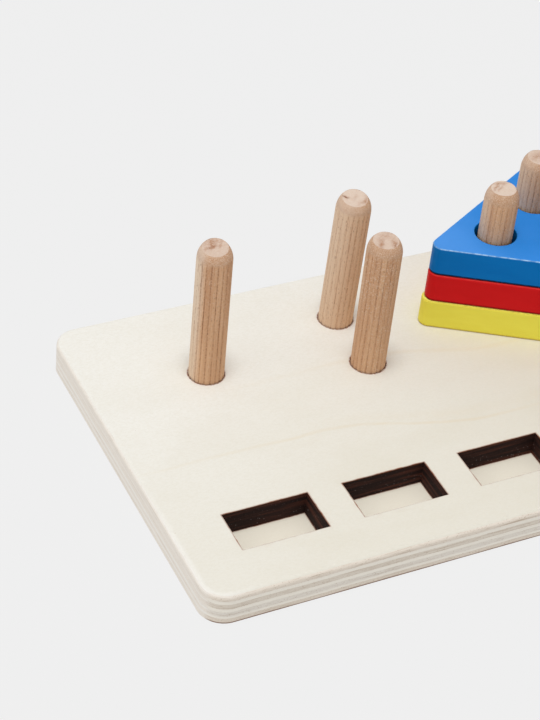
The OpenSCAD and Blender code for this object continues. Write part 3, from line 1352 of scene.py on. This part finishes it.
@dataclass
class StackPiece:
    """A painted piece with rounded corners and a hole for each peg of its group."""

    shape: Shape
    layer: Layer
    pegs: tuple[str, ...]
    turn: float
    slip: tuple[float, float]
    rim: float = 11.4 * MM
    corner: float = 3.0 * MM
    edge: float = 0.5 * MM
    hole: float = 6.05 * MM
    ease: float = 0.3 * MM
    hold: float = 0.12 * MM

    # How narrow the painted light on the upper edge is, and how much painted shade, mixed with soiling,
    # reaches just above the lower one
    arris_light_narrowness: int = 5
    joint_fade: float = 0.7

    # Fineness of the mesh
    side_points: int = 14
    corner_points: int = 17
    edge_points: int = 7
    body_rings: int = 6
    ease_points: int = 5
    spoke_points: int = 16
    face_rings: tuple[float, ...] = (0.0, 0.06, 0.5, 0.92, 1.0)
    sharp: float = 40.0

    @property
    def body(self) -> str:
        """Name of the CAD node and body that the piece stands for."""
        return f"{self.shape.name.lower()}_{self.layer.name.lower()}"

    @cached_property
    def group(self) -> np.ndarray:
        """Middle of the piece's group of pegs."""
        return np.mean([middle_of(peg) for peg in self.pegs], axis=0)[:2]

    @cached_property
    def ring(self) -> float:
        """Distance of the holes from the middle of the piece."""
        return float(np.linalg.norm(middle_of(self.pegs[0])[:2] - self.group))

    @property
    def half(self) -> float:
        """Half the angle between two corners."""
        return math.pi / self.shape.value

    @property
    def reach(self) -> float:
        """Distance of the corners' axes from the middle of the piece."""
        return (self.ring * math.cos(self.half) + self.rim - self.corner) / math.cos(self.half)

    def corner_angle(self, number: int) -> float:
        """Give the direction of one corner, counted anticlockwise, from the middle of the piece."""
        return (2 * number + 1) * self.half + self.turn

    def sector(self, number: int, radius: float) -> np.ndarray:
        """Trace one corner's share of the outline, from mid-side to mid-side round the corner.

        Args:
            number: Which corner, anticlockwise.
            radius: Radius round the corner's axis in metres.

        Returns:
            Points in the piece's own plane.
        """
        angle = self.corner_angle(number)
        bend = angle + np.linspace(-self.half, self.half, self.corner_points)
        axis = self.reach * np.array([math.cos(angle), math.sin(angle)])
        arc = axis + radius * np.stack([np.cos(bend), np.sin(bend)], axis=-1)
        inside = self.reach * math.cos(self.half) + radius
        start = inside * np.array([math.cos(angle - self.half), math.sin(angle - self.half)])
        end = inside * np.array([math.cos(angle + self.half), math.sin(angle + self.half)])
        share = np.linspace(0, 1, self.side_points)[:, None]
        before = start + (arc[0] - start) * share[:-1]
        after = arc[-1] + (end - arc[-1]) * share[1:]
        return np.concatenate([before, arc, after])

    def levels(self, thickness: float) -> tuple[np.ndarray, np.ndarray, np.ndarray, np.ndarray]:
        """Give the rim's section, with both edges rounded over a quarter circle.

        Args:
            thickness: Thickness of the piece in metres.

        Returns:
            How far each ring is drawn in, its height, its share of the painted light on the upper edge and its
            share of the painted shade, mixed with soiling, at the lower one.
        """
        bend = np.linspace(0, math.pi / 2, self.edge_points)
        inset = self.edge * (1 - np.sin(bend))
        rise = self.edge * (1 - np.cos(bend))
        body = np.linspace(self.edge + 3 * self.hold, thickness - self.edge - self.hold, self.body_rings)
        body = np.append(self.edge + self.hold, body)
        face = [self.edge + self.hold]
        drawn = np.concatenate([face, inset, np.zeros(body.size), inset[::-1], face])
        height = np.concatenate([[0.0], rise, body, (thickness - rise)[::-1], [thickness]])
        # Painted highlight along the upper edge's rounding (painted shade on the yellow piece)
        round_off = np.sin(2 * bend) ** self.arris_light_narrowness
        arris_light_and_shade = np.concatenate([np.zeros(1 + bend.size + body.size), round_off, [0.0]])
        # Painted shade, mixed with soiling, over the lower edge and a little above it
        joint_shade_and_dirt_share = np.concatenate([np.ones(1 + bend.size), [self.joint_fade], np.zeros(body.size + bend.size)])
        return drawn, height, arris_light_and_shade, joint_shade_and_dirt_share

    def wall(self, thickness: float) -> tuple[np.ndarray, np.ndarray]:
        """Give a hole's section, from the piece's underside up through the hole to its top.

        Args:
            thickness: Thickness of the piece in metres.

        Returns:
            How much wider than the hole each ring is, and its height.
        """
        bend = np.linspace(0, math.pi / 2, self.ease_points)
        wide = self.ease * (1 - np.sin(bend))
        rise = self.ease * (1 - np.cos(bend))
        return np.concatenate([wide, wide[::-1]]), np.concatenate([rise, (thickness - rise)[::-1]])

    def corner_grids(self, number: int, thickness: float) -> list[np.ndarray]:
        """Give the lower face, the upper face and the hole of one corner's share of the piece.

        The faces are ruled along the rays from the hole's rim to the share's border, which runs along the
        outline and back through the middle of the piece.

        Args:
            number: Which corner, anticlockwise.
            thickness: Thickness of the piece in metres.

        Returns:
            Grids of points whose columns close into a ring.
        """
        share = np.linspace(0, 1, self.spoke_points + 1)[1:, None]
        border = self.sector(number, self.corner - self.edge - self.hold)
        border = np.concatenate([border, border[-1] * (1 - share), (border[0] * share)[:-1]])
        angle = self.corner_angle(number)
        hub = self.ring * np.array([math.cos(angle), math.sin(angle)])
        ray = (border - hub) / np.linalg.norm(border - hub, axis=1)[:, None]
        lip = hub + (self.hole + self.ease) * ray
        face = lip + (border - lip) * np.array(self.face_rings)[:, None, None]
        wide, rise = self.wall(thickness)
        bore = hub + (self.hole + wide)[:, None, None] * ray
        return [np.dstack([face, np.zeros(face.shape[:2])]),
                np.dstack([face, np.full(face.shape[:2], thickness)]),
                np.dstack([bore, np.repeat(rise[:, None], len(ray), axis=1)])]

    def build(self) -> bpy.types.Object:
        """Build the piece's surface from its rim, and from the faces and hole of each corner's share.

        The rim is the outline drawn in at each height by the section of the rounded edges.

        Returns:
            The piece.
        """
        low, high = (np.array(corner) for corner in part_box(self.body))
        thickness = float(high[2] - low[2])
        drawn, height, arris_light_and_shade, joint_shade_and_dirt_share = self.levels(thickness)
        corners = range(self.shape.value)
        rings = np.stack([np.concatenate([self.sector(n, self.corner - inset)[:-1] for n in corners])
                          for inset in drawn])
        columns = rings.shape[1]
        grids = [np.dstack([rings, np.repeat(height[:, None], columns, axis=1)])]
        for number in corners:
            grids += self.corner_grids(number, thickness)
        points = np.concatenate([grid.reshape(-1, 3) for grid in grids])
        points = points + np.append(self.group + np.array(self.slip), low[2])
        starts = np.cumsum([0] + [grid.shape[0] * grid.shape[1] for grid in grids[:-1]])
        faces = np.concatenate([grid_faces(grid.shape[0], grid.shape[1], int(start))
                                for grid, start in zip(grids, starts)])
        plain = np.zeros(len(points) - rings.shape[0] * columns)
        # Marks for the painted light on the upper edges and the painted shade, mixed with soiling, at the
        # lower ones
        marks = {"edge": np.append(np.repeat(arris_light_and_shade, columns), plain),
                 "joint": np.append(np.repeat(joint_shade_and_dirt_share, columns), plain)}
        piece = mesh_piece(self.body + "_block", points, faces.tolist(), marks, self.sharp)
        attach(piece, self.body)
        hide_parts(self.body)
        return piece

    def dress(self, piece: bpy.types.Object, finish: bpy.types.Material) -> None:
        """Give the piece its paint."""
        piece.data.materials.append(finish)


@dataclass
class Board:
    """The plywood plate and the base sheet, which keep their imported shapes. Its sizes are in millimetres."""

    pegs: tuple[Peg, ...]
    corner: float = 7.0
    socket_half: tuple[float, float] = (12.3, 6.75)
    socket_pitch: float = 34.8
    socket_front: float = 14.0
    socket_count: int = 6
    hole_radius: float = 5.12

    def edge_front(self) -> Stops:
        """Give the plies along the front edge, from the underside up, as shares of the board's thickness."""
        light = srgb(247, 241, 229)
        crown = srgb(236, 226, 213)
        rosy = srgb(233, 222, 208)
        dark = srgb(228, 218, 204)
        grey = srgb(234, 227, 216)
        tan = srgb(231, 219, 204)
        # A dark line along the underside: the burnt edge of the cut with a painted contact shadow
        line = srgb(140, 110, 94)
        return ((0.0, line), (0.022, line), (0.05, tan), (0.15, tan), (0.19, light), (0.23, light),
                (0.26, grey), (0.39, grey), (0.43, light), (0.5, light), (0.54, dark), (0.67, dark),
                (0.71, light), (0.79, light), (0.83, rosy), (0.89, rosy), (0.96, crown))

    def edge_side(self) -> Stops:
        """Give the plies along the left and right edges, from the underside up, in the same shares."""
        white = srgb(238, 233, 225)
        pale = srgb(247, 242, 234)
        soft = srgb(242, 234, 223)
        return ((0.0, soft), (0.14, soft), (0.18, pale), (0.22, pale), (0.27, soft), (0.34, soft),
                (0.38, pale), (0.42, pale), (0.47, soft), (0.65, soft), (0.67, pale), (0.7, soft),
                (0.9, soft), (0.98, white))

    def finish(self, name: str, face: tuple[Colour, Colour, Colour]) -> PlyFinish:
        """Describe the plywood of one of the two sheets.

        Args:
            name: Name of the material.
            face: Light, dark and warm tone of its faces.

        Returns:
            The finish.
        """
        low, high = (np.array(corner) / MM for corner in CAD_BOX)
        half = (high - low) / 2
        plate_top = float(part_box("top_plate")[1][2])
        axes = [peg.at_height(plate_top) / MM for peg in self.pegs]
        return PlyFinish(
            name=name, face=face[0], face_dark=face[1], face_warm=face[2], ring=srgb(222, 206, 174),
            fleck=srgb(176, 152, 126), edge_front=self.edge_front(), edge_side=self.edge_side(),
            burnt=srgb(39, 20, 17), burnt_brown=srgb(92, 50, 38), scorch=srgb(176, 130, 92),
            singe=srgb(140, 80, 50), ash=srgb(160, 152, 154), arris_gleam=srgb(250, 249, 247),
            half_length=float(half[0]), half_width=float(half[1]), corner=self.corner,
            thickness=plate_top / MM, floor=float(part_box("base_sheet")[1][2]) / MM,
            socket_half=self.socket_half, socket_pitch=self.socket_pitch,
            socket_y=float(low[1]) + self.socket_front + self.socket_half[1],
            socket_count=self.socket_count,
            holes=tuple(Ring(float(axis[0]), float(axis[1]), self.hole_radius) for axis in axes))

    def dress(self) -> None:
        """Give the plate and the base sheet their plywood."""
        tones = {"top_plate": (srgb(237, 235, 228), srgb(227, 223, 212), srgb(217, 210, 191)),
                 "base_sheet": (srgb(250, 243, 227), srgb(243, 234, 215), srgb(245, 237, 219))}
        for node, tone in tones.items():
            material = self.finish(node + "_plywood", tone).material()
            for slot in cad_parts[node].material_slots:
                slot.material = material
            LOG.info("dressed %s", node)


@dataclass(frozen=True)
class SoftLight:
    """A soft rectangular light: its place, the point that it faces, its width and height, and its power."""

    name: str
    at: Triple
    aim: Triple
    size: tuple[float, float]
    watts: float

    def hang(self) -> None:
        """Hang the light so that it faces its aim."""
        data = bpy.data.lights.new(self.name, "AREA")
        data.shape = "RECTANGLE"
        data.size, data.size_y = self.size
        data.energy = self.watts
        back = np.array(self.at) - np.array(self.aim)
        back = back / np.linalg.norm(back)
        across = np.cross((0.0, 0.0, 1.0), back)
        across = across / np.linalg.norm(across)
        turn = Matrix(np.stack([across, np.cross(back, across), back], axis=1).tolist()).to_4x4()
        lamp = bpy.data.objects.new(self.name, data)
        lamp.matrix_world = Matrix.Translation(self.at) @ turn
        bpy.context.scene.collection.objects.link(lamp)


@dataclass
class Studio:
    """Pale floor, soft light and the camera."""

    focal_pixels: float = 2109.62
    azimuth: float = math.radians(29.19)
    elevation: float = math.radians(-50.8)
    roll: float = math.radians(-6.31)
    place: Triple = (-169.34 * MM, -319.39 * MM, 373.07 * MM)
    sensor: float = 36.0
    clip: tuple[float, float] = (0.01, 20.0)
    floor_half: float = 3.0
    floor_points: int = 3
    floor_drop: float = 0.05 * MM
    floor_colour: Colour = (0.05, 0.05, 0.05, 1.0)
    floor_rough: float = 0.9
    floor_glow: float = 0.81
    white: Colour = (1.0, 1.0, 1.0, 1.0)
    surround: float = 0.54
    lamps: tuple[SoftLight, ...] = (
        SoftLight("softbox", (-0.13, -0.05, 1.2), (-0.05, 0.0, 0.0), (0.3, 0.3), 7.1),
        SoftLight("left_fill", (-1.1, -0.1, 0.45), (0.0, 0.0, 0.02), (1.2, 0.8), 1.6))

    def camera(self) -> None:
        """Set the camera at the viewing angle, measured from the plate's front left top corner."""
        def about_z(angle: float) -> np.ndarray:
            """Give the matrix of a turn about Z."""
            return np.array([[math.cos(angle), -math.sin(angle), 0], [math.sin(angle), math.cos(angle), 0],
                             [0, 0, 1]])

        tilt = np.array([[1, 0, 0], [0, math.cos(self.elevation), -math.sin(self.elevation)],
                         [0, math.sin(self.elevation), math.cos(self.elevation)]])
        view = about_z(self.roll) @ tilt @ about_z(self.azimuth)
        low = CAD_BOX[0]
        place = np.array([low[0], low[1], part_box("top_plate")[1][2]]) + np.array(self.place)
        data = bpy.data.cameras.new("camera")
        data.sensor_width = self.sensor
        data.lens = self.focal_pixels * self.sensor / IMAGE_LONG_SIDE
        data.clip_start, data.clip_end = self.clip
        camera = bpy.data.objects.new("camera", data)
        camera.matrix_world = Matrix.Translation(place.tolist()) @ Matrix(view.T.tolist()).to_4x4()
        bpy.context.scene.collection.objects.link(camera)
        bpy.context.scene.camera = camera

    def floor(self) -> None:
        """Lay a plain pale floor just under the board, lit through from below like a light table."""
        count = self.floor_points
        span = np.linspace(-self.floor_half, self.floor_half, count)
        x, y = np.meshgrid(span, span, indexing="ij")
        points = np.stack([x, y, np.full(x.shape, -self.floor_drop)], axis=-1).reshape(-1, 3)
        row, column = np.meshgrid(np.arange(count - 1), np.arange(count - 1), indexing="ij")
        first = (row * count + column).ravel()
        faces = np.stack([first, first + count, first + count + 1, first + 1], axis=-1)
        mesh = bpy.data.meshes.new("floor")
        mesh.from_pydata(points, [], faces.tolist())
        floor = bpy.data.objects.new("floor", mesh)
        bpy.context.scene.collection.objects.link(floor)
        graph = Graph("floor_paper")
        graph.colour(self.floor_colour)
        graph.sheen(self.floor_rough, 0.0)
        graph.feed(graph.shader.inputs["Emission Color"], self.white)
        graph.feed(graph.shader.inputs["Emission Strength"], self.floor_glow)
        mesh.materials.append(graph.material)

    def lights(self) -> None:
        """Light the scene from a softbox overhead, a fill at the left and a bright, even surround."""
        for lamp in self.lamps:
            lamp.hang()
        world = bpy.data.worlds.new("surround")
        world.use_nodes = True
        ground = world.node_tree.nodes["Background"]
        ground.inputs["Color"].default_value = self.white
        ground.inputs["Strength"].default_value = self.surround
        bpy.context.scene.world = world
        bpy.context.scene.view_settings.view_transform = "Standard"

    def build(self) -> None:
        """Set up the floor, the lights and the camera."""
        self.floor()
        self.lights()
        self.camera()


@dataclass
class StackingBoard:
    """The whole toy: board, pegs and both stacks."""

    singles: tuple[str, ...] = ("peg_single", "peg_pair_back", "peg_pair_front")
    triangle: tuple[str, ...] = ("peg_tri_back", "peg_tri_left", "peg_tri_front")
    square: tuple[str, ...] = ("peg_square_back_right", "peg_square_back_left", "peg_square_front_left",
                               "peg_square_front_right")
    first_seed: int = 11
    straight: tuple[float, float] = (0.0, 0.0)
    plain_cut: tuple[float, float] = (0.01, 0.01)
    leans: dict[str, tuple[float, float]] = field(default_factory=lambda: {
        "peg_single": (0.1, 1.3), "peg_pair_back": (1.05, -1.0), "peg_pair_front": (-0.3, -0.6)})
    cuts: dict[str, tuple[float, float]] = field(default_factory=lambda: {
        "peg_single": (-0.07, -0.15), "peg_pair_back": (-0.05, -0.13), "peg_pair_front": (-0.03, -0.08),
        "peg_tri_left": (-0.01, -0.02), "peg_tri_back": (0.02, -0.06), "peg_tri_front": (0.05, 0.02),
        "peg_square_back_left": (-0.03, 0.04), "peg_square_front_right": (0.06, -0.03)})
    blanks: dict[str, Blank] = field(default_factory=lambda: {
        "peg_single": Blank(
            tone=0.38, crisp=0.9, turn=5.5, dust=0.8, sapwood=Sapwood(153.0, 54.0, 18.0, 1.0), browned=0.24,
            stains=(EndMark(-0.35, 1.7, 1.4, 0.5, 80.0, 0.5), EndMark(-1.7, 0.3, 1.7, 0.5, 0.0, 0.5),
                    EndMark(-0.3, 0.7, 0.9, 0.5, 20.0, 0.45), EndMark(1.5, 0.3, 1.0, 0.45, 60.0, 0.35),
                    EndMark(0.5, 2.6, 3.0, 1.8, 0.0, 0.35)),
            split=EndMark(-0.9, 0.5, 1.2, 0.2, 25.0, 0.3)),
        "peg_pair_back": Blank(
            tone=1.0, crisp=0.6, turn=-8.0, dust=0.8, sapwood=Sapwood(165.0, 90.0, 70.0, 0.7), browned=0.06,
            stains=(EndMark(1.2, -2.2, 2.0, 0.8, 20.0, 0.35), EndMark(0.2, 0.2, 1.4, 0.5, 50.0, 0.3),
                    EndMark(2.7, -1.5, 1.8, 0.7, 60.0, 0.45), EndMark(-2.35, 1.2, 1.1, 0.42, -39.0, 0.9)),
            split=EndMark(-2.35, 1.2, 0.85, 0.15, -39.0, 1.0)),
        "peg_pair_front": Blank(
            tone=0.34, crisp=0.7, turn=1.0, dust=1.4, sapwood=Sapwood(153.0, 30.0, 20.0, 0.1), browned=0.22,
            stains=(EndMark(-1.9, -1.1, 1.9, 0.7, 60.0, 0.6), EndMark(1.6, -1.9, 2.0, 0.8, 70.0, 0.6),
                    EndMark(0.4, 1.6, 2.4, 1.0, 20.0, 0.35)),
            split=EndMark(1.8, -2.4, 0.9, 0.2, 45.0, 0.35)),
        "peg_tri_left": Blank(
            tone=0.6, crisp=0.55, turn=-8.0, dust=0.8, sapwood=Sapwood(153.0, 46.0, 20.0, 0.6), browned=0.06,
            stains=(EndMark(-1.7, 1.2, 1.8, 0.4, 40.0, 0.8), EndMark(-0.9, 0.3, 1.5, 0.35, 35.0, 0.6),
                    EndMark(0.4, 2.4, 2.0, 0.6, 165.0, 0.6)),
            split=EndMark(-0.6, 1.5, 0.9, 0.14, 60.0, 0.25)),
        "peg_tri_back": Blank(tone=0.8, turn=4.0, dust=1.1, sapwood=Sapwood(153.0, 70.0, 40.0, 0.55)),
        "peg_tri_front": Blank(crisp=0.8, turn=11.0, dust=0.4, sapwood=Sapwood(220.0)),
        "peg_square_back_left": Blank(tone=0.7, crisp=0.5, turn=7.0, dust=0.9, sapwood=Sapwood(120.0, 70.0)),
        "peg_square_front_right": Blank(tone=0.4, crisp=0.75, turn=13.0, dust=0.5, sapwood=Sapwood(300.0))})
    turns: dict[Shape, float] = field(default_factory=lambda: {
        Shape.TRIANGLE: math.radians(-1.1), Shape.SQUARE: math.radians(1.0)})
    play: float = 1.05 * MM
    slips: dict[Layer, tuple[float, float]] = field(default_factory=lambda: {
        Layer.YELLOW: (-0.57, 0.1), Layer.RED: (0.1, 0.0), Layer.BLUE: (0.38, 0.19)})
    beech: BeechFinish = BeechFinish(
        name="beech_dowel", light=srgb(224, 181, 143), mid=srgb(202, 154, 117), dark=srgb(184, 132, 93),
        sapwood=srgb(236, 214, 190), groove=srgb(148, 100, 70), bounce_glow=srgb(230, 187, 146),
        dust=srgb(230, 206, 182), sanded=srgb(192, 153, 124), tip=srgb(221, 202, 186),
        stain=srgb(172, 128, 100), crack=srgb(98, 56, 42))
    paints: dict[Layer, PaintFinish] = field(default_factory=lambda: {
        Layer.YELLOW: PaintFinish(
            name="paint_yellow", coat=srgb(248, 238, 92), shade=srgb(240, 227, 80), painted_sheen=srgb(248, 239, 120),
            arris_light_and_shade=srgb(212, 190, 68), joint_shade_and_pit_dirt=srgb(226, 204, 82)),
        Layer.RED: PaintFinish(
            name="paint_red", coat=srgb(214, 26, 30), shade=srgb(203, 20, 24), painted_sheen=srgb(212, 43, 43),
            arris_light_and_shade=srgb(217, 54, 50), joint_shade_and_pit_dirt=srgb(136, 16, 16)),
        Layer.BLUE: PaintFinish(
            name="paint_blue", coat=srgb(4, 115, 193), shade=srgb(0, 106, 184), painted_sheen=srgb(60, 142, 228),
            arris_light_and_shade=srgb(186, 220, 246), joint_shade_and_pit_dirt=srgb(4, 16, 30))})

    def pegs(self) -> tuple[Peg, ...]:
        """Describe the pegs, each with its own seed, lean, cut and blank."""
        nodes = self.singles + self.triangle + self.square
        return tuple(Peg(node, seed, self.leans.get(node, self.straight), self.cuts.get(node, self.plain_cut),
                         self.blanks.get(node, Blank()))
                     for seed, node in enumerate(nodes, self.first_seed))

    def build(self) -> None:
        """Dress the board and build the pegs and the pieces."""
        pegs = self.pegs()
        Board(pegs).dress()
        wood = self.beech.material()
        for peg in pegs:
            peg.dress(peg.build(), wood)
            LOG.info("built %s", peg.node)
        coats = {layer: paint.material() for layer, paint in self.paints.items()}
        for shape, group in ((Shape.TRIANGLE, self.triangle), (Shape.SQUARE, self.square)):
            for layer in Layer:
                slip = (self.slips[layer][0] * self.play, self.slips[layer][1] * self.play)
                block = StackPiece(shape, layer, group, self.turns[shape], slip)
                block.dress(block.build(), coats[layer])
                LOG.info("built %s", block.body)


def main() -> None:
    """Build the toy and the studio round it."""
    logging.basicConfig(level=logging.INFO, format="%(name)s: %(message)s")
    Studio().build()
    StackingBoard().build()


if __name__ == "__main__":
    main()
